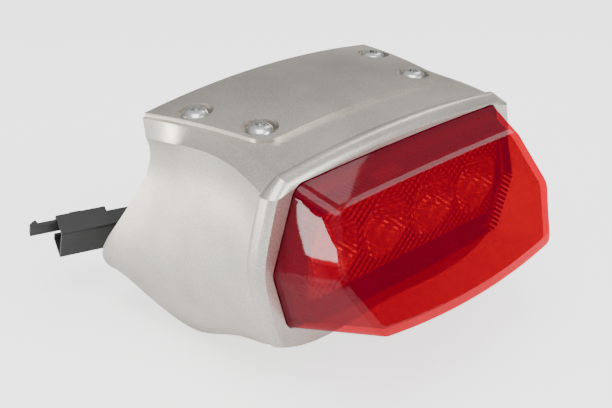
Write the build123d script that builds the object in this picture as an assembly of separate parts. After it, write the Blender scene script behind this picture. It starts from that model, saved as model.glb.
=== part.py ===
from build123d import *
from math import sin, cos, tan, atan2, acos, radians, degrees, sqrt
import os

os.makedirs("parts", exist_ok=True)

# All sizes in mm. Z is the mounting bolts' axis and z = 0 is the seat under the top plate;
# the lens looks towards -Y and the open bay for the bracket towards +Y.

# ---- shell ----
shell_half = 64.5          # half of the widest line of the flared skirt
shell_drop = 68.4          # seat to the lowest point of the floor
front_reach = 38.0         # origin to the front rim's edge
rear_reach = 42.0          # origin to the rearmost point of the skirt
crown_height = 14.2        # seat to the crest of the raised top pad
crown_radius = 380.0       # crown of the top across its width
fall_radius = 300.0        # the same top falls away to front and back
pad_raise = 1.3            # step from the brow up to the raised pad
pad_half_front = 43.0      # half width of the raised pad at its front edge
pad_half_rear = 54.2       # half width at its rear edge
pad_front = -22.0
top_rear = 26.6            # rear edge of the top
wall = 2.4
rim_depth = 3.6            # how far the rounded rim stands in front of the shell
rim_bead = 0.7             # how far its bead stands out from the sides
seat_front, seat_rear = -21.0, 21.0
seat_margin = 7.4          # seat pad beyond the outer bolts

# ---- mounting bolts, M5 button heads ----
bolt_rear_half, bolt_rear_y = 43.24, 12.6
bolt_front_half, bolt_front_y = 37.12, -12.6
bolt_r = 2.5
bolt_clearance = 0.25      # radial, in the shell's holes
bolt_length = 20.0
bolt_neck_r = 2.2          # plain neck inside the shell, above the thread
head_r, head_h = 4.75, 2.75
hex_across, hex_depth = 3.0, 1.6
recess_r = 6.1
washer_r, washer_t = 5.0, 1.0
head_proud = 0.7           # head top above the pad beside it

# ---- lens opening and lens ----
open_half = 57.8           # half width at the widest line
open_top_half, open_low_half = 49.2, 50.6
open_top, open_mid, open_low = 6.2, -22.0, -45.4     # heights at the corners
open_fit = 0.35            # gap between the lens skirt and the opening
lens_wall = 2.4
flange_out, flange_t = 2.4, 2.2
gasket_t = 1.0
face_lean = 31.0           # lean of the lens face from upright, degrees
face_y, face_z = -54.63, 2.66      # the face's top edge at the middle
face_top_half, face_mid_half, face_low_half = 45.0, 52.0, 43.8
face_mid, face_low = -22.6, -41.8  # down the face, to its side corners and its lower corners
face_bow = 3.6             # bow of the face's bottom edge
face_edge = 1.5            # bevel round the top and sides of the face
face_edge_low = 3.3        # wider bevel along the bottom

# ---- lamp unit ----
cells = 4
bowl_throat_r = 3.3
lamp_z = -19.6             # middle of the reflector
reflector_h = 29.8
reflector_front = -46.2
frame_border = 6.6
board_t = 1.6
board_y = -36.9            # front of the board
board_h = 25.0
board_screw_z = 10.0
base_rear = -29.5
base_wall = 2.0
tab_t = 3.0
tab_x_top, tab_z_top = 30.0, -7.5
tab_x_low, tab_z_low = 34.0, -38.5
screw_r, screw_len = 1.5, 8.0
screw_head_r, screw_head_h = 2.8, 1.9

# ---- connector and lead ----
hood_l, hood_w, hood_h = 18.3, 15.6, 9.0
hood_wall, hood_depth = 1.1, 12.0
slot_w = 8.8
pin_recess = 7.2           # pins' tips behind the mouth
latch_w, latch_t = 5.6, 1.5
latch_off = 1.2            # the lever sits towards one side of its slot
latch_out = 9.2            # latch arm in front of the mouth
pivot_r, pivot_fit = 0.75, 0.05
pivot_x, pivot_z = -7.5, 4.15
tail_l, tail_w, tail_h = 11.5, 12.4, 6.8
mouth = Vector(-72.5, 58.8, -0.664 * shell_drop)
mate_dir = Vector(-0.9545, 0.2986, 0.0).normalized()
latch_up = Vector(0.2654, 0.8422, 0.4688)
latch_up = (latch_up - mate_dir * latch_up.dot(mate_dir)).normalized()
lead_d = 4.2
lead_exit_x, lead_exit_z = 6.0, -0.439 * shell_drop

parts = {}
h, d = shell_half / 64.5, shell_drop / 68.4
rim_back = -front_reach                    # inner face of the rim
rim_front = -front_reach - rim_depth
flange_front = rim_back + gasket_t
base_front = flange_front + flange_t
reflector_half = open_half - 10.8           # the lamp unit's width follows the opening's
board_half = open_half - 11.2
cell_pitch = 2 * reflector_half / cells + 0.3
bowl_r = min(0.47 * cell_pitch, reflector_h / 2 - 1.5)
lamp_fit = 0.8                             # lamp unit to the inside of the shell


def xz(y):
    """The plane of a cross-section at y, seen from the lens side."""
    return Plane(origin=(0, y, 0), x_dir=(1, 0, 0), z_dir=(0, -1, 0))


def top_z(x, y, drop=0.0):
    """Height of the crowned top."""
    return crown_height - x * x / (2 * crown_radius) - (y + 5) ** 2 / (2 * fall_radius) - drop


# Cross-sections of the shell: y, the shoulder's ridge, the side from the belt down to the
# lower corner, and the floor.
stations = [
    (-front_reach, 51.4, [(57.9, 3.6), (59.5, -2.4), (61.2, -9.6), (62.6, -18.5), (60.6, -32.0), (57.6, -43.0), (53.6, -51.0)], -55.6),
    (-0.7 * front_reach, 49.8, [(56.2, 6.0), (56.5, 0.6), (59.2, -9.0), (61.6, -19.0), (62.2, -31.0), (59.6, -44.0), (53.6, -55.0)], -58.6),
    (-0.37 * front_reach, 48.6, [(54.9, 6.8), (54.9, 1.0), (57.8, -9.6), (60.9, -20.6), (62.9, -32.0), (61.2, -45.0), (53.8, -59.6)], -62.2),
    (0.2 * rear_reach, 51.2, [(54.5, 3.8), (54.0, -4.2), (56.8, -14.4), (60.6, -26.0), (63.7, -39.0), (62.6, -50.5), (54.6, -66.2)], -68.4),
    (0.62 * rear_reach, 54.6, [(54.6, 0.4), (53.6, -8.8), (56.3, -17.8), (60.1, -28.0), (63.7, -40.0), (64.2, -50.0), (59.6, -57.7)], -59.8),
    (rear_reach, 55.6, [(55.0, -1.0), (53.9, -10.0), (56.6, -19.0), (60.2, -29.0), (63.9, -41.6), (64.4, -50.6), (62.4, -54.4)], -55.0),
    (rear_reach + 14, 56.0, [(55.4, -1.4), (54.2, -10.4), (56.8, -19.4), (60.3, -29.4), (64.0, -42.0), (64.5, -50.6), (62.4, -54.0)], -54.6),
]


def section(y, ridge, side, floor, inset=0.0):
    """One closed outline of the shell: crown, shoulders, sides and floor."""
    ridge, floor = ridge * h, floor * d + inset
    pts = [(x * h - inset, z if z > 0 else z * d) for x, z in side]
    pts[-1] = (side[-1][0] * h - 0.8 * inset, side[-1][1] * d + 0.6 * inset)
    rx, rz = ridge - inset, top_z(ridge, y, pad_raise) - inset
    lx, lz = pts[-1]
    cz = lz + 0.72 * (floor - lz)
    edges = [
        ThreePointArc((-rx, rz), (0, top_z(0, y, pad_raise) - inset), (rx, rz)),
        Line((rx, rz), pts[0]),
        Spline(*pts),
        Spline((lx, lz), (0.86 * lx, cz), (0, floor), (-0.86 * lx, cz), (-lx, lz)),
        Spline(*[(-x, z) for x, z in reversed(pts)]),
        Line((-pts[0][0], pts[0][1]), (-rx, rz)),
    ]
    return xz(y) * Face(Wire(edges))


def shell_body(inset=0.0):
    """The shell's outer form or, with an inset, the space inside it."""
    return loft([section(*r, inset) for r in stations])


def hexagon(corners, crown, r, grow):
    """A symmetric outline with three corners a side, arched along its top and bottom."""
    (tx, tz), (mx, mz), (bx, bz) = corners
    f = Face(Wire([
        ThreePointArc((-tx, tz), (0, tz + crown[0]), (tx, tz)), Line((tx, tz), (mx, mz)),
        Line((mx, mz), (bx, bz)), ThreePointArc((bx, bz), (0, bz - crown[1]), (-bx, bz)),
        Line((-bx, bz), (-mx, mz)), Line((-mx, mz), (-tx, tz))]))
    for z, radius in zip((tz, mz, bz), r):
        f = fillet([v for v in f.vertices() if abs(v.Y - z) < 1e-6], radius)
    return offset(f, grow) if grow else f


def opening(grow=0.0):
    """Outline of the lens opening in X and Z."""
    return hexagon([(open_top_half, open_top), (open_half, open_mid), (open_low_half, open_low)],
                   (0.9, 0.9), (5.0, 6.0, 5.0), grow)


def lens_face(grow=0.0, low=0.0):
    """Outline of the lens face in its own leaning plane."""
    return hexagon([(face_top_half, 0.0), (face_mid_half, face_mid), (face_low_half, face_low + low)],
                   (0.6, face_bow), (4.0, 7.0, 5.0), grow)


def face_plane(back=0.0):
    a = radians(face_lean)
    n = Vector(0, -cos(a), sin(a))
    return Plane(origin=Vector(0, face_y, face_z) - n * back, x_dir=(1, 0, 0), z_dir=n)


def prism(sketch, y0, y1):
    """A sketch in X and Z made solid between two values of y."""
    return extrude(xz(y1) * sketch, amount=y1 - y0, dir=(0, -1, 0))


def rod(r, p0, p1, r1=None):
    """A round bar between two points, or a cone to a second radius."""
    a, b = Vector(*p0), Vector(*p1)
    n, low = (b - a).length, (Align.CENTER, Align.CENTER, Align.MIN)
    bar = Cylinder(r, n, align=low) if r1 is None else Cone(r, r1, n, align=low)
    return Plane(origin=a, z_dir=(b - a).normalized()) * bar


def block(x0, x1, y0, y1, z0, z1):
    return Pos((x0 + x1) / 2, (y0 + y1) / 2, (z0 + z1) / 2) * Box(x1 - x0, y1 - y0, z1 - z0)


def both_sides(make):
    return [make(-1), make(1)]


def crown_solid():
    """Everything under the crowned top."""
    w, rows = shell_half + 10, []
    for y in (pad_front - 30, pad_front, -5, 12, top_rear + 6):
        z = top_z(w, y)
        rows.append(xz(y) * Face(Wire([
            ThreePointArc((-w, z), (0, top_z(0, y)), (w, z)),
            Line((w, z), (w, -5)), Line((w, -5), (-w, -5)), Line((-w, -5), (-w, z))])))
    return loft(rows)


bolt_spots = [(s * x, y) for x, y in ((bolt_rear_half, bolt_rear_y), (bolt_front_half, bolt_front_y)) for s in (-1, 1)]
seat_half = bolt_rear_half + seat_margin
tab_spots = [(s * x, z) for x, z in ((tab_x_top, tab_z_top), (tab_x_low, tab_z_low)) for s in (-1, 1)]
board_spots = [(s * cell_pitch, lamp_z + t * board_screw_z) for s in (-1, 1) for t in (-1, 1)]
cell_x = [(i - (cells - 1) / 2) * cell_pitch for i in range(cells)]


def recess_floor(x, y):
    return top_z(x, y) + head_proud - head_h - washer_t


# ---- housing: one casting with a rounded rim, a raised pad, a seat pad and four tabs ----
steps = [(-0.9, 0.9), (-0.25, -rim_bead), (0.5, -0.4 * rim_bead), (1.0, 1.9)]
housing = shell_body() + loft([section(-front_reach - t * rim_depth, *stations[0][1:], g) for t, g in steps])
plan = Face(Wire([
    Line((-pad_half_front, pad_front), (pad_half_front, pad_front)),
    Line((pad_half_front, pad_front), (pad_half_rear, top_rear + 4)),
    Line((pad_half_rear, top_rear + 4), (-pad_half_rear, top_rear + 4)),
    Line((-pad_half_rear, top_rear + 4), (-pad_half_front, pad_front))]))
plan = fillet(sorted(plan.vertices(), key=lambda v: v.Y)[:2], 8.0)
housing += extrude(plan, amount=crown_height + 5, dir=(0, 0, 1)) & crown_solid()
housing -= shell_body(wall)
inside = shell_body(wall - 1.0)
window = block(-bolt_front_half + 11, bolt_front_half - 11, -7, 7, -1, top_z(0, 7, pad_raise) - wall - 0.4)
housing += (block(-seat_half, seat_half, seat_front, seat_rear, 0, crown_height) & inside) - window
for x, z in tab_spots:
    z0, z1 = (z - 5.5, crown_height) if z > lamp_z else (-shell_drop, z + 5.5)
    housing += block(x - 6, x + 6, base_rear, base_rear + tab_t, z0, z1) & inside
r = rear_reach
back = Face(Wire([
    Spline((top_rear, 40), (top_rear, 7), (top_rear - 1.2, -9), (top_rear + 0.9, -17), (r - 12, -23.4),
           (r - 6, -35.5), (r - 2.4, -42), (r - 0.2, -48), (r - 1.2, -53.2), (r - 5.5, -56.4),
           (r - 12, -shell_drop - 12)),
    Line((r - 12, -shell_drop - 12), (r + 60, -shell_drop - 12)),
    Line((r + 60, -shell_drop - 12), (r + 60, 40)), Line((r + 60, 40), (top_rear, 40))]))
side_on = Plane(origin=(-shell_half - 40, 0, 0), x_dir=(0, 1, 0), z_dir=(1, 0, 0))
housing -= extrude(side_on * back, amount=2 * shell_half + 80, dir=(1, 0, 0))
housing -= prism(opening(), rim_front - 5, rim_back + 1)
for x, y in bolt_spots:
    z = recess_floor(x, y)
    housing -= rod(recess_r, (x, y, z), (x, y, crown_height + 8))
    housing -= rod(bolt_r + bolt_clearance, (x, y, -5), (x, y, z + 1))
for x, z in tab_spots:
    housing -= rod(screw_r + 0.2, (x, base_rear - 1, z), (x, base_rear + tab_t + 1, z))
parts["housing"] = housing

# ---- mounting bolts with their washers, one of each at the four corners ----
bolts, washers = [], []
for x, y in bolt_spots:
    z = recess_floor(x, y) + washer_t
    dome = Pos(x, y, z) * revolve(Plane.XZ * Face(Wire([
        Line((0, 0), (head_r, 0)), Line((head_r, 0), (head_r, 0.5)),
        ThreePointArc((head_r, 0.5), (0.78 * head_r, 0.72 * head_h), (0.42 * head_r, head_h)),
        Line((0.42 * head_r, head_h), (0, head_h)), Line((0, head_h), (0, 0))])), Axis.Z)
    hexagon_hole = Pos(x, y, z + head_h - hex_depth) * extrude(
        RegularPolygon(hex_across / 2 / cos(radians(30)), 6), amount=hex_depth + 1)
    thread = rod(bolt_r, (x, y, -0.5), (x, y, z - bolt_length + 0.6)) + rod(
        bolt_r, (x, y, z - bolt_length + 0.6), (x, y, z - bolt_length), bolt_r - 0.6)
    bolts.append(dome + rod(bolt_neck_r, (x, y, z), (x, y, -1)) + thread - hexagon_hole)
    washers.append(rod(washer_r, (x, y, z - washer_t), (x, y, z))
                   - rod(bolt_r + bolt_clearance, (x, y, z - washer_t - 1), (x, y, z + 1)))
parts["mounting_bolts"] = Compound(bolts)
parts["bolt_washers"] = Compound(washers)

# ---- lens, a hollow moulding whose front face leans, and the gasket behind its flange ----
trim = shell_body(wall + lamp_fit)
skirt_front = rim_front - 0.4
skin, core = -open_fit, -open_fit - lens_wall
lens = loft([xz(skirt_front) * opening(skin), face_plane(face_edge) * lens_face()], ruled=True)
lens += loft([face_plane(face_edge) * lens_face(), face_plane() * lens_face(-face_edge, face_edge_low - face_edge)],
             ruled=True)
lens += prism(opening(skin), skirt_front, flange_front)
lens += prism(opening(skin + flange_out), flange_front, base_front) & trim
lens -= loft([xz(skirt_front) * opening(core), face_plane(lens_wall) * lens_face(-lens_wall)], ruled=True)
lens -= prism(opening(core), skirt_front, base_front + 1)
parts["lens"] = lens
parts["lens_gasket"] = (prism(opening(skin + flange_out), rim_back, flange_front) & trim) - prism(
    opening(), rim_back - 1, flange_front + 1)

# ---- lamp base, the tray that closes the lens from behind ----
plate = prism(opening(skin + flange_out), base_front, base_rear) & trim
pocket_rear = base_rear - base_wall
base = plate - prism(opening(core), base_front - 1, pocket_rear)
for x, z in tab_spots:
    base += rod(3.4, (x, base_front, z), (x, pocket_rear, z))
    base -= rod(screw_r, (x, base_rear + tab_t - screw_len, z), (x, base_rear + 1, z))
for x, z in board_spots:
    base += rod(3.2, (x, board_y + board_t, z), (x, pocket_rear, z))
    base -= rod(1.3, (x, board_y, z), (x, base_rear + 1, z))
    base -= rod(2.4, (x, base_rear - 1.5, z), (x, base_rear + 1, z))
base -= rod(4.0, (lead_exit_x, pocket_rear - 3, lead_exit_z), (lead_exit_x, base_rear + 1, lead_exit_z))
parts["lamp_base"] = base
parts["base_screws"] = Compound([
    rod(screw_r, (x, base_rear + tab_t, z), (x, base_rear + tab_t - screw_len, z))
    + rod(screw_head_r, (x, base_rear + tab_t, z), (x, base_rear + tab_t + screw_head_h, z), screw_head_r - 0.7)
    - block(x - 2.0, x + 2.0, base_rear + tab_t + 0.9, base_rear + tab_t + 3, z - 0.3, z + 0.3)
    - block(x - 0.3, x + 0.3, base_rear + tab_t + 0.9, base_rear + tab_t + 3, z - 2.0, z + 2.0)
    for x, z in tab_spots])

# ---- LED board with its parts ----
board = block(-board_half, board_half, board_y, board_y + board_t, lamp_z - board_h / 2, lamp_z + board_h / 2)
board = fillet(board.edges().filter_by(Axis.Y), 3.0)
for x, z in board_spots:
    board -= rod(1.3, (x, board_y - 1, z), (x, board_y + board_t + 1, z))
parts["led_board"] = board
parts["leds"] = Compound([
    block(x - 2.2, x + 2.2, board_y - 1.2, board_y, lamp_z - 2.2, lamp_z + 2.2)
    + (Pos(x, board_y - 1.2, lamp_z) * Sphere(1.9) & block(x - 3, x + 3, board_y - 4, board_y - 1.1, lamp_z - 3, lamp_z + 3))
    for x in cell_x])
board_back = board_y + board_t
parts["board_resistors"] = Compound([
    block(x - 1.6, x + 1.6, board_back, board_back + 0.6, lamp_z + 3.2, lamp_z + 4.8) for x in cell_x])
parts["board_diode"] = block(-14.2, -9.8, board_back, board_back + 2.1, lamp_z - 7.3, lamp_z - 4.7)

# ---- reflector with a bowl for each LED, and the black frame round it ----
reflector = block(-reflector_half, reflector_half, reflector_front, board_y,
                  lamp_z - reflector_h / 2, lamp_z + reflector_h / 2)
reflector = fillet(reflector.edges().filter_by(Axis.Y), 4.0)
for x in cell_x:
    reflector -= rod(bowl_throat_r, (x, board_y, lamp_z), (x, reflector_front, lamp_z), bowl_r)
for x, z in board_spots:
    reflector -= rod(1.1, (x, base_rear - 1.5 - 12.0, z), (x, board_y + 1, z))
parts["reflector"] = reflector
parts["board_screws"] = Compound([
    rod(1.1, (x, base_rear - 1.5, z), (x, base_rear - 1.5 - 12.0, z))
    + rod(2.1, (x, base_rear - 1.5, z), (x, base_rear - 0.2, z))
    - block(x - 1.4, x + 1.4, base_rear - 0.7, base_rear + 1, z - 0.25, z + 0.25) for x, z in board_spots])
frame_front = reflector_front + 0.6
fit = 0.6
frame = prism(opening(core - fit - 1.8), frame_front, frame_front + 2)
frame += prism(opening(core - fit - 0.6), frame_front + 2, base_front) - prism(
    opening(core - fit - 2.2), frame_front + 1, base_front + 1)
hole = block(-reflector_half - 0.3, reflector_half + 0.3, frame_front - 1, frame_front + 3,
             lamp_z - reflector_h / 2 - 0.3, lamp_z + reflector_h / 2 + 0.3)
frame -= fillet(hole.edges().filter_by(Axis.Y), 4.3)
parts["reflector_frame"] = frame

# ---- connector: hood, latch lever on its pivots, tail, pins and boot ----
at = Plane(origin=mouth, x_dir=mate_dir, z_dir=latch_up)
w2, h2 = hood_w / 2, hood_h / 2
hood = fillet(block(-hood_l, 0, -w2, w2, -h2, h2).edges().filter_by(Axis.X), 0.8)
hood -= fillet(block(-hood_depth, 1, -w2 + hood_wall, w2 - hood_wall, -h2 + hood_wall, h2 - hood_wall)
               .edges().filter_by(Axis.X), 0.5)
hood -= block(-hood_depth - 0.4, 1, -slot_w / 2, slot_w / 2, h2 - hood_wall - 0.1, h2 + 1)
for s in (-1, 1):
    y0, y1 = sorted((s * slot_w / 2, s * (slot_w / 2 + 1.5)))
    hood += block(pivot_x - 2, pivot_x + 2, y0, y1, h2 - hood_wall, pivot_z + pivot_r + 0.7)
hood -= rod(pivot_r + pivot_fit, (pivot_x, -w2 + 0.5, pivot_z), (pivot_x, w2 - 0.5, pivot_z))
for y in (-2.5, 2.5):
    hood -= block(-hood_l - 1, -hood_depth + 1, y - 0.8, y + 0.8, -1.2, -0.4)
parts["connector_hood"] = at * hood
arm_z = h2 - hood_wall + 0.1
latch = block(pivot_x - 3.4, latch_out, latch_off - latch_w / 2, latch_off + latch_w / 2, arm_z, arm_z + latch_t)
latch += extrude(Plane(origin=(0, latch_off + latch_w / 2, 0), x_dir=(1, 0, 0), z_dir=(0, -1, 0)) * Face(Wire([
    Line((latch_out - 3.0, arm_z + latch_t), (latch_out, arm_z + latch_t)),
    Line((latch_out, arm_z + latch_t), (latch_out - 1.9, arm_z + latch_t + 1.3)),
    Line((latch_out - 1.9, arm_z + latch_t + 1.3), (latch_out - 2.6, arm_z + latch_t + 1.3)),
    Line((latch_out - 2.6, arm_z + latch_t + 1.3), (latch_out - 3.0, arm_z + latch_t))])),
    amount=latch_w, dir=(0, -1, 0))
latch += rod(pivot_r, (pivot_x, -slot_w / 2 - 1.4, pivot_z), (pivot_x, slot_w / 2 + 1.4, pivot_z))
parts["connector_latch"] = at * latch
tail_end = -hood_l - tail_l
tail = fillet(block(tail_end, -hood_l, -tail_w / 2, tail_w / 2, -tail_h / 2, tail_h / 2).edges().filter_by(Axis.X), 0.8)
for y in (-2.5, 2.5):
    tail -= block(-hood_l - 4, -hood_l + 1, y - 0.8, y + 0.8, -1.2, -0.4)
tail -= rod(lead_d / 2, (tail_end - 1, 0, 0), (tail_end + 2, 0, 0))
parts["connector_tail"] = at * tail
parts["connector_pins"] = Compound([
    at * block(-hood_l - 4, -pin_recess, y - 0.8, y + 0.8, -1.2, -0.4) for y in (-2.5, 2.5)])
boot_l = 5.0
parts["connector_boot"] = at * (rod(3.1, (tail_end, 0, 0), (tail_end - boot_l, 0, 0), 2.6)
                                - rod(lead_d / 2, (tail_end + 1, 0, 0), (tail_end - boot_l - 1, 0, 0)))

# ---- lead from the connector into the lamp base, and its grommet ----
start = mouth + mate_dir * (tail_end + 2)
path = [start, start - mate_dir * 30, Vector(2, 24.5, -0.548 * shell_drop), Vector(lead_exit_x, 3.5, lead_exit_z),
        Vector(lead_exit_x, pocket_rear - 0.8, lead_exit_z)]
runs = [b - a for a, b in zip(path, path[1:])]
radii = []
for u, v in zip(runs, runs[1:]):
    turn = acos(max(-1.0, min(1.0, u.normalized().dot(v.normalized()))))
    radii.append(0.45 * min(u.length, v.length) / tan(turn / 2))
print("lead bend radii", [round(r, 1) for r in radii], "points", [tuple(round(c, 3) for c in p) for p in path])
route = FilletPolyline(*path, radius=radii)
lead = sweep(Plane(origin=start, z_dir=runs[0].normalized()) * Circle(lead_d / 2), path=route)
parts["lead"] = lead
gx, gz = lead_exit_x, lead_exit_z
parts["lead_grommet"] = (
    rod(4.0, (gx, pocket_rear, gz), (gx, base_rear, gz)) + rod(5.4, (gx, base_rear, gz), (gx, base_rear + 1, gz))
    + rod(5.0, (gx, pocket_rear, gz), (gx, pocket_rear - 0.7, gz))
    + rod(4.0, (gx, base_rear + 1, gz), (gx, base_rear + 9, gz), 3.0)
    - rod(lead_d / 2, (gx, pocket_rear - 2, gz), (gx, base_rear + 10, gz)))
wire_r = 0.8
parts["board_wires"] = Compound([
    rod(wire_r, (gx + t, pocket_rear - 0.8, gz), (gx + t, board_back, gz)) for t in (-1.1, 1.1)])

for name, solid in parts.items():
    export_step(solid, f"parts/{name}.step")
    print(name, round(solid.volume, 1), solid.is_valid, len(solid.solids()))
print("lead volume", round(lead.volume, 1), "of", round(3.14159265 * (lead_d / 2) ** 2 * route.length, 1))
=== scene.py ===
import math
import bpy
from mathutils import Matrix, Vector


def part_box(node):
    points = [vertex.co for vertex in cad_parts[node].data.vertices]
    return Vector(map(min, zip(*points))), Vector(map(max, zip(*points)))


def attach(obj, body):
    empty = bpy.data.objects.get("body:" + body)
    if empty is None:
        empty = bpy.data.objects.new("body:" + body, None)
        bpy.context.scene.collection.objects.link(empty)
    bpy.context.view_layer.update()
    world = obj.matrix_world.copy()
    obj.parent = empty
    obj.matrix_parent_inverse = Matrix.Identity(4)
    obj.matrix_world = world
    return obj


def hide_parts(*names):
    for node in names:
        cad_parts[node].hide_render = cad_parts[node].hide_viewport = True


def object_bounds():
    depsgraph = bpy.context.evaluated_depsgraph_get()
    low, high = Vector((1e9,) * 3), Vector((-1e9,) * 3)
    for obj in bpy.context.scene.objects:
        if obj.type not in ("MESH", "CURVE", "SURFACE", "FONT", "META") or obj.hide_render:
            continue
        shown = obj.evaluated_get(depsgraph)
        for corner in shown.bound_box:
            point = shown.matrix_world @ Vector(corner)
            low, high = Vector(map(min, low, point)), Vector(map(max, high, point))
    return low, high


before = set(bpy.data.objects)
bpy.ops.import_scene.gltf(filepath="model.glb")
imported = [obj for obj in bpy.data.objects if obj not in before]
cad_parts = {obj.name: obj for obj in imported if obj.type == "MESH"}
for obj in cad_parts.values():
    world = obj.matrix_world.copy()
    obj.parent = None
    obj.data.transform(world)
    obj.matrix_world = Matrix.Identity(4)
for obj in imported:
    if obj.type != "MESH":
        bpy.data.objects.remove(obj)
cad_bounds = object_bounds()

bpy.ops.object.select_all(action="DESELECT")

# ---------------------------------------------------------------- floor
# A sheet of white studio card, 9 m each way, just under the lowest point of the tail light.
# It glows for the camera only, so that it reads as white card and the lamps light the piece.
card_gap = 0.0004
bpy.ops.mesh.primitive_plane_add(size=9.0, location=(0, 0, cad_bounds[0][2] - card_gap))
studio_floor = bpy.context.object
studio_floor.name = "studio_floor"


class Shade:
    """A socket of a material's nodes; arithmetic on it adds Math nodes."""

    def __init__(self, tree, socket=None):
        self.tree, self.socket = tree, socket

    def node(self, kind, settings=None, out=0, **feeds):
        """Add a node: its settings first, then each socket's value or link."""
        made = self.tree.nodes.new(kind)
        for key, value in (settings or {}).items():
            if key == "stops":
                ramp = made.color_ramp.elements
                while len(ramp) < len(value):
                    ramp.new(0.5)
                for stop, (place, colour) in zip(ramp, value):
                    stop.position, stop.color = place, colour
            else:
                setattr(made, key, value)
        for key, value in feeds.items():
            numbered = key[0] == "i" and key[1:].isdigit()
            spot = made.inputs[int(key[1:]) if numbered else key.replace("_", " ")]
            if isinstance(value, Shade):
                self.tree.links.new(value.socket, spot)
            else:
                spot.default_value = value
        return Shade(self.tree, made.outputs[out])

    def maths(self, operation, *others):
        feeds = {f"i{i}": v for i, v in enumerate(others)}
        return self.node("ShaderNodeMath", {"operation": operation}, **feeds)

    def __add__(self, other): return self.maths("ADD", self, other)
    def __radd__(self, other): return self.maths("ADD", other, self)
    def __sub__(self, other): return self.maths("SUBTRACT", self, other)
    def __rsub__(self, other): return self.maths("SUBTRACT", other, self)
    def __mul__(self, other): return self.maths("MULTIPLY", self, other)
    def __rmul__(self, other): return self.maths("MULTIPLY", other, self)

    def between(self, low, high):
        """0 below low, 1 above high, smooth between."""
        return self.node("ShaderNodeMapRange", {"interpolation_type": "SMOOTHSTEP"}, i0=self, i1=low, i2=high)

    def mix(self, first, second):
        """Colour that goes from first to second with this socket."""
        return self.node("ShaderNodeMix", {"data_type": "RGBA"}, 2, i0=self, i6=first, i7=second)

    def grain(self, size, detail=2.0, rough=0.5):
        """Noise with lumps of this size in metres, on a place."""
        return self.node("ShaderNodeTexNoise", Vector=self, Scale=1 / size, Detail=detail, Roughness=rough)

    def bump(self, height, depth):
        return self.node("ShaderNodeBump", Strength=height, Distance=depth, Height=self)


def finish_of(name, **fixed):
    """A new material: its shader's fixed values, and the place on the piece to build from."""
    made = bpy.data.materials.new(name)
    made.use_nodes = True
    shader = made.node_tree.nodes["Principled BSDF"]
    for key, value in fixed.items():
        shader.inputs[key.replace("_", " ")].default_value = value
    place = Shade(made.node_tree).node("ShaderNodeTexCoord", out=3)
    return made, shader, place


def feed(shader, **links):
    for key, value in links.items():
        value.tree.links.new(value.socket, shader.inputs[key.replace("_", " ")])


card, card_shader, spot = finish_of("studio_card", Roughness=0.9, Specular_IOR_Level=0.1,
                                    Emission_Strength=1.6)
card_shader.inputs["Base Color"].default_value = (0.93, 0.93, 0.93, 1)
by_camera = spot.node("ShaderNodeLightPath")
feed(card_shader, Emission_Color=by_camera.mix((0.0, 0.0, 0.0, 1), (1.0, 1.0, 1.0, 1)))
studio_floor.data.materials.append(card)

# ---------------------------------------------------------------- studio lamps
# A white tent with a dark band above its horizon, and five soft boxes: overhead, on the left
# where the lens's left facet mirrors it, behind the left side, in front, and high on the right.
room = bpy.data.worlds.new("white_room")
room.use_nodes = True
sky = Shade(room.node_tree).node("ShaderNodeTexCoord", out=0)
height = sky.node("ShaderNodeSeparateXYZ", out=2, i0=sky)
tent = height.node("ShaderNodeValToRGB", {"stops": [
    (0.0, (1.0, 0.98, 0.94, 1)), (0.05, (1.0, 0.98, 0.94, 1)), (0.15, (0.17, 0.15, 0.13, 1)),
    (0.30, (0.22, 0.21, 0.20, 1)), (0.50, (0.62, 0.62, 0.62, 1)), (1.0, (0.95, 0.95, 0.95, 1))]}, i0=height)
room.node_tree.links.new(tent.socket, room.node_tree.nodes["Background"].inputs["Color"])
room.node_tree.nodes["Background"].inputs["Strength"].default_value = 0.9
bpy.context.scene.world = room


def soft_box(name, at, towards, size, watts, tint=(1, 1, 1)):
    """A rectangular lamp in metres and watts, turned to face a place."""
    lamp = bpy.data.lights.new(name, "AREA")
    lamp.shape = "RECTANGLE"
    lamp.size, lamp.size_y = size
    lamp.energy = watts
    lamp.color = tint
    holder = bpy.data.objects.new(name, lamp)
    bpy.context.collection.objects.link(holder)
    aim = (Vector(towards) - Vector(at)).to_track_quat("-Z", "Y")
    holder.matrix_world = Matrix.Translation(at) @ aim.to_matrix().to_4x4()


soft_box("overhead_box", (-0.25, -0.25, 0.95), (0, 0, 0), (0.7, 0.7), 8.0)
soft_box("left_box", (-0.87, 0.06, 0.147), (-0.05, -0.052, -0.006), (0.22, 0.20), 4.0, (1.0, 0.98, 0.96))
soft_box("side_box", (-0.75, 0.62, 0.10), (-0.05, 0.0, -0.01), (0.5, 0.22), 5.5, (1.0, 0.96, 0.89))
soft_box("front_box", (0.30, -0.90, 0.50), (0, -0.05, -0.02), (0.55, 0.55), 7.0)
soft_box("right_box", (0.64, 0.19, 0.60), (0, -0.05, 0.004), (0.14, 0.5), 0.8)

# ---------------------------------------------------------------- camera
# It looks down at the tail light from the front left, with the lens side nearest, from
# about a third of a metre away. The three directions are the view's right, up and back.
camera_data = bpy.data.cameras.new("camera")
camera_data.sensor_width = 36.0
camera_data.lens = 60.59
camera_data.clip_start = 0.01
camera = bpy.data.objects.new("camera", camera_data)
bpy.context.collection.objects.link(camera)
view_right = (0.71962, -0.69394, 0.02433)
view_up = (0.30995, 0.35238, 0.88304)
view_back = (-0.62135, -0.62791, 0.46866)
camera_turn = Matrix((view_right, view_up, view_back)).transposed().to_4x4()
camera.matrix_world = Matrix.Translation((-0.2381, -0.2375, 0.1445)) @ camera_turn
bpy.context.scene.camera = camera

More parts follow.
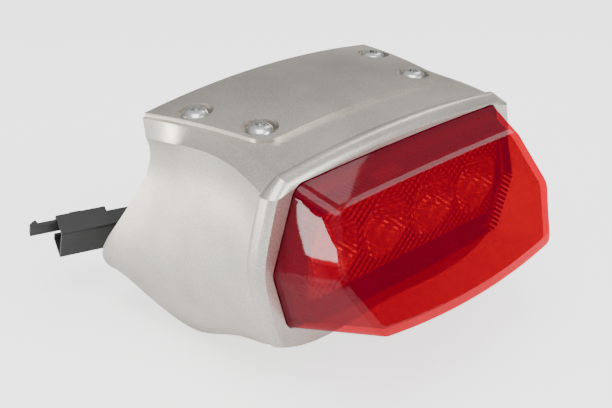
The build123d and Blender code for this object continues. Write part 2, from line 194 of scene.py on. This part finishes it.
# ---------------------------------------------------------------- lead
# Black vinyl-sleeved two-core lead, 4.2 mm thick: it leaves the lamp base through a grommet,
# crosses the open back of the shell and ends in the plug behind the left corner.
lead_thick = 0.0042
lead_points = [(-0.045968, 0.0505, -0.045418), (-0.017336, 0.041543, -0.045418), (0.002, 0.0245, -0.037483),
               (0.006, 0.0035, -0.030028), (0.006, -0.0323, -0.030028)]
lead_curve = bpy.data.curves.new("lead_sleeve", "CURVE")
lead_curve.dimensions = "3D"
line = lead_curve.splines.new("NURBS")
line.points.add(len(lead_points) - 1)
for point, place in zip(line.points, lead_points):
    point.co = (*place, 1)
line.order_u = 3
line.use_endpoint_u = True
line.resolution_u = 24
lead_curve.bevel_depth = lead_thick / 2
lead_curve.bevel_resolution = 6
lead_curve.use_fill_caps = True
lead_sleeve = bpy.data.objects.new("lead_sleeve", lead_curve)
bpy.context.collection.objects.link(lead_sleeve)
vinyl, vinyl_shader, spot = finish_of("soft_black_vinyl", Specular_IOR_Level=0.4)
mottle = spot.grain(0.0009, 3)
feed(vinyl_shader,
     Base_Color=mottle.mix((0.012, 0.012, 0.013, 1), (0.03, 0.03, 0.031, 1)),
     Roughness=0.42 + mottle * 0.2,
     Normal=mottle.bump(0.15, 0.0001))
lead_curve.materials.append(vinyl)
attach(lead_sleeve, "unit")
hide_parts("lead")


def dress(node, material):
    """Give a CAD piece its finish."""
    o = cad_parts[node]
    o.data.materials.clear()
    o.data.materials.append(material)
    return o


dress("board_wires", vinyl)

# ---------------------------------------------------------------- plug
# A black nylon plug: a hood round two tinned pins, a latch lever on its upper face and a
# smaller tail that grips the lead. The boot, the grommet and the lens seal are black rubber.
nylon, nylon_shader, spot = finish_of("black_nylon", Specular_IOR_Level=0.45)
pit = spot.grain(0.0004, 2)
cloud = spot.grain(0.006, 3)
feed(nylon_shader,
     Base_Color=cloud.mix((0.010, 0.010, 0.011, 1), (0.024, 0.024, 0.026, 1)),
     Roughness=0.38 + pit * 0.22,
     Normal=pit.bump(0.25, 0.00008))
for node in ("connector_hood", "connector_latch", "connector_tail"):
    dress(node, nylon)
tin, tin_shader, spot = finish_of("tinned_pins", Metallic=1.0)
feed(tin_shader, Base_Color=spot.grain(0.0012).mix((0.62, 0.58, 0.48, 1), (0.8, 0.77, 0.7, 1)),
     Roughness=0.25 + spot.grain(0.0008) * 0.2)
dress("connector_pins", tin)
rubber, rubber_shader, spot = finish_of("black_rubber", Specular_IOR_Level=0.25)
bloom = spot.grain(0.0015, 4)
feed(rubber_shader, Base_Color=bloom.mix((0.014, 0.014, 0.014, 1), (0.04, 0.04, 0.039, 1)),
     Roughness=0.6 + bloom * 0.3, Normal=bloom.bump(0.2, 0.0001))
for node in ("connector_boot", "lead_grommet", "lens_gasket"):
    dress(node, rubber)

# ---------------------------------------------------------------- shell
# One die-cast shell with a rounded front rim and a raised pad on top, open at the back. It is
# sprayed with satin silver lacquer that has a fine metal flake in it.
silver, silver_shader, spot = finish_of("silver_lacquer", Metallic=0.85, Coat_Weight=0.3, Coat_Roughness=0.18)
flake = spot.grain(0.0003, 2, 0.7)
drift = spot.grain(0.02, 2)
feed(silver_shader,
     Base_Color=(flake * 0.75 + drift * 0.25).between(0.3, 0.7).mix(
         (0.40, 0.375, 0.33, 1), (0.78, 0.745, 0.68, 1)),
     Roughness=0.26 + flake * 0.12,
     Normal=flake.bump(0.22, 0.00006))
dress("housing", silver)

# ---------------------------------------------------------------- screws and washers
# Four M5 button-head screws in recesses of the raised pad, each on a washer, with a hexagon
# socket. The small screws inside are the same steel. All are turned and bright zinc plated.
zinc, zinc_shader, spot = finish_of("zinc_plate", Metallic=1.0)
swirl = spot.grain(0.0007, 3)
feed(zinc_shader, Base_Color=swirl.mix((0.55, 0.56, 0.57, 1), (0.8, 0.8, 0.79, 1)),
     Roughness=0.18 + swirl * 0.18, Normal=swirl.bump(0.06, 0.00005))
for node in ("mounting_bolts", "bolt_washers", "base_screws", "board_screws"):
    dress(node, zinc)

# ---------------------------------------------------------------- lamp base and frame
# The base that closes the lens at the back and the frame round the reflector, both moulded in
# matt black plastic. The board's resistors and diode have the same black cases.
black, black_shader, spot = finish_of("moulded_black", Specular_IOR_Level=0.4)
spark = spot.grain(0.0005, 2)
feed(black_shader, Base_Color=spark.mix((0.006, 0.006, 0.007, 1), (0.016, 0.016, 0.017, 1)),
     Roughness=0.45 + spark * 0.2, Normal=spark.bump(0.2, 0.00008))
for node in ("lamp_base", "reflector_frame", "board_resistors", "board_diode"):
    dress(node, black)

# ---------------------------------------------------------------- board and LEDs
# A glass-fibre board under white solder mask, screwed to the lamp base, with one LED behind
# each bowl. The LEDs are clear yellowish domes of cast resin.
mask, mask_shader, spot = finish_of("white_solder_mask")
feed(mask_shader, Base_Color=spot.grain(0.002).mix((0.75, 0.76, 0.73, 1), (0.86, 0.87, 0.84, 1)),
     Roughness=0.3 + spot.grain(0.001) * 0.2)
dress("led_board", mask)
dome, dome_shader, spot = finish_of("led_dome", Coat_Weight=0.5)
feed(dome_shader, Base_Color=spot.grain(0.0012).mix((0.85, 0.8, 0.55, 1), (0.95, 0.92, 0.75, 1)),
     Roughness=0.15 + spot.grain(0.001) * 0.1)
dress("leds", dome)

# ---------------------------------------------------------------- reflector
# One moulding with four bowls, metallised in a vacuum. Its surface is pressed into small
# slanting pillows, which break the light up.
fine_waves, coarse_waves = 2600.0, 1700.0
chrome, chrome_shader, spot = finish_of("metallised", Metallic=1.0)
across = spot.node("ShaderNodeSeparateXYZ", i0=spot)
upward = spot.node("ShaderNodeSeparateXYZ", out=2, i0=spot)
rising = spot.maths("SINE", (across + upward) * fine_waves)
falling = spot.maths("SINE", (across - upward) * coarse_waves)
wave = spot.grain(0.004)
feed(chrome_shader, Base_Color=wave.mix((0.86, 0.86, 0.87, 1), (0.93, 0.93, 0.93, 1)),
     Roughness=0.10 + wave * 0.08, Normal=((rising + falling) * 0.5).bump(0.8, 0.0006))
dress("reflector", chrome)

# ---------------------------------------------------------------- lens
# A deep cap of clear red acrylic, tinted all through, with a flat leaning face. It is moulded
# with a hard gloss, and a skirt behind the rim holds it in the shell's opening.
red, red_shader, spot = finish_of("red_acrylic", IOR=1.75)
ripple = spot.grain(0.012, 1)
feed(red_shader,
     Base_Color=ripple.mix((0.33, 0.0, 0.026, 1), (0.40, 0.0, 0.034, 1)),
     Roughness=0.02 + ripple * 0.03)
tint = spot.node("ShaderNodeBsdfTransparent", Color=(0.82, 0.006, 0.10, 1))
facing = spot.node("ShaderNodeLayerWeight", out=1, Blend=0.5)
gloss = 0.24 + spot.maths("POWER", facing, 4.0) * 0.4
surface = Shade(red.node_tree, red_shader.outputs[0])
tinted_gloss = spot.node("ShaderNodeMixShader", i0=gloss, i1=tint, i2=surface)
red.node_tree.links.new(tinted_gloss.socket, red.node_tree.nodes["Material Output"].inputs["Surface"])
lens = dress("lens", red)

# ---------------------------------------------------------------- lens flutes
# Fine ribs moulded on the inside of the lens all round, in front of the reflector's frame.
# Each is a low, flat-backed bar. They are the same acrylic, but they are painted a much darker red than the
# lens: painted shade for how they look darker in the wall.
rib_pitch, rib_half, rib_rise = 0.0017, 0.00055, 0.0007
rib_front, rib_back = -0.0500, -0.0459
longest_rib = 0.0095
tries = 2880
middle = (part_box("reflector")[0][2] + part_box("reflector")[1][2]) / 2


def inside_wall(angle, y):
    """Where the lens's inner wall is, straight out from its middle at this angle."""
    outward = Vector((math.cos(angle), 0, math.sin(angle)))
    hit, place, *_ = lens.ray_cast(Vector((0, y, middle)), outward)
    return place if hit else None


rib_angles, last = [], None
for step in range(tries):
    angle = step * 2 * math.pi / tries
    place = inside_wall(angle, rib_back)
    if place and (last is None or (place - last).length >= rib_pitch):
        rib_angles.append(angle)
        last = place

bpy.ops.mesh.primitive_cylinder_add(vertices=6, radius=1.0, depth=1.0, rotation=(math.pi / 2, 0, 0))
rib = bpy.context.object
bpy.ops.object.transform_apply(location=False, rotation=True, scale=True)
bpy.ops.object.mode_set(mode="EDIT")
bpy.ops.mesh.select_all(action="SELECT")
bpy.ops.mesh.bisect(plane_co=(0, 0, -0.2), plane_no=(0, 0, 1), clear_inner=True, use_fill=True)
bpy.ops.object.mode_set(mode="OBJECT")
ribs = []
for angle in rib_angles:
    back, front = inside_wall(angle, rib_back), inside_wall(angle, rib_front)
    if not front or (back - front).length > longest_rib:
        continue
    along = (front - back).normalized()
    inward = -Vector((math.cos(angle), 0, math.sin(angle)))
    inward = (inward - along * inward.dot(along)).normalized()
    across = along.cross(inward)
    centre = (back + front) / 2
    sides = (across * rib_half, along * (front - back).length, inward * rib_rise)
    placed = Matrix(sides).transposed().to_4x4()
    copy = rib.copy()
    copy.data = rib.data.copy()
    bpy.context.collection.objects.link(copy)
    copy.data.transform(Matrix.Translation(centre) @ placed)
    ribs.append(copy)
bpy.data.objects.remove(rib)
bpy.ops.object.select_all(action="DESELECT")
for copy in ribs:
    copy.select_set(True)
bpy.context.view_layer.objects.active = ribs[0]
bpy.ops.object.join()
lens_flutes = bpy.context.object
lens_flutes.name = "lens_flutes"
bpy.ops.object.mode_set(mode="EDIT")
bpy.ops.mesh.select_all(action="SELECT")
bpy.ops.mesh.normals_make_consistent(inside=False)
bpy.ops.object.mode_set(mode="OBJECT")
bpy.ops.object.select_all(action="DESELECT")
# Painted shade: the flutes' base colour is a near-black copy of the lens's red, darker than the acrylic
# really is.
painted_shade_red, painted_shade_red_shader, spot = finish_of("ribbed_acrylic_painted_shade", IOR=1.49)
mist = spot.grain(0.002, 2)
feed(painted_shade_red_shader, Base_Color=mist.mix((0.03, 0.0, 0.002, 1), (0.08, 0.0, 0.005, 1)),
     Roughness=0.12 + mist * 0.12)
lens_flutes.data.materials.clear()
lens_flutes.data.materials.append(painted_shade_red)
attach(lens_flutes, "unit")
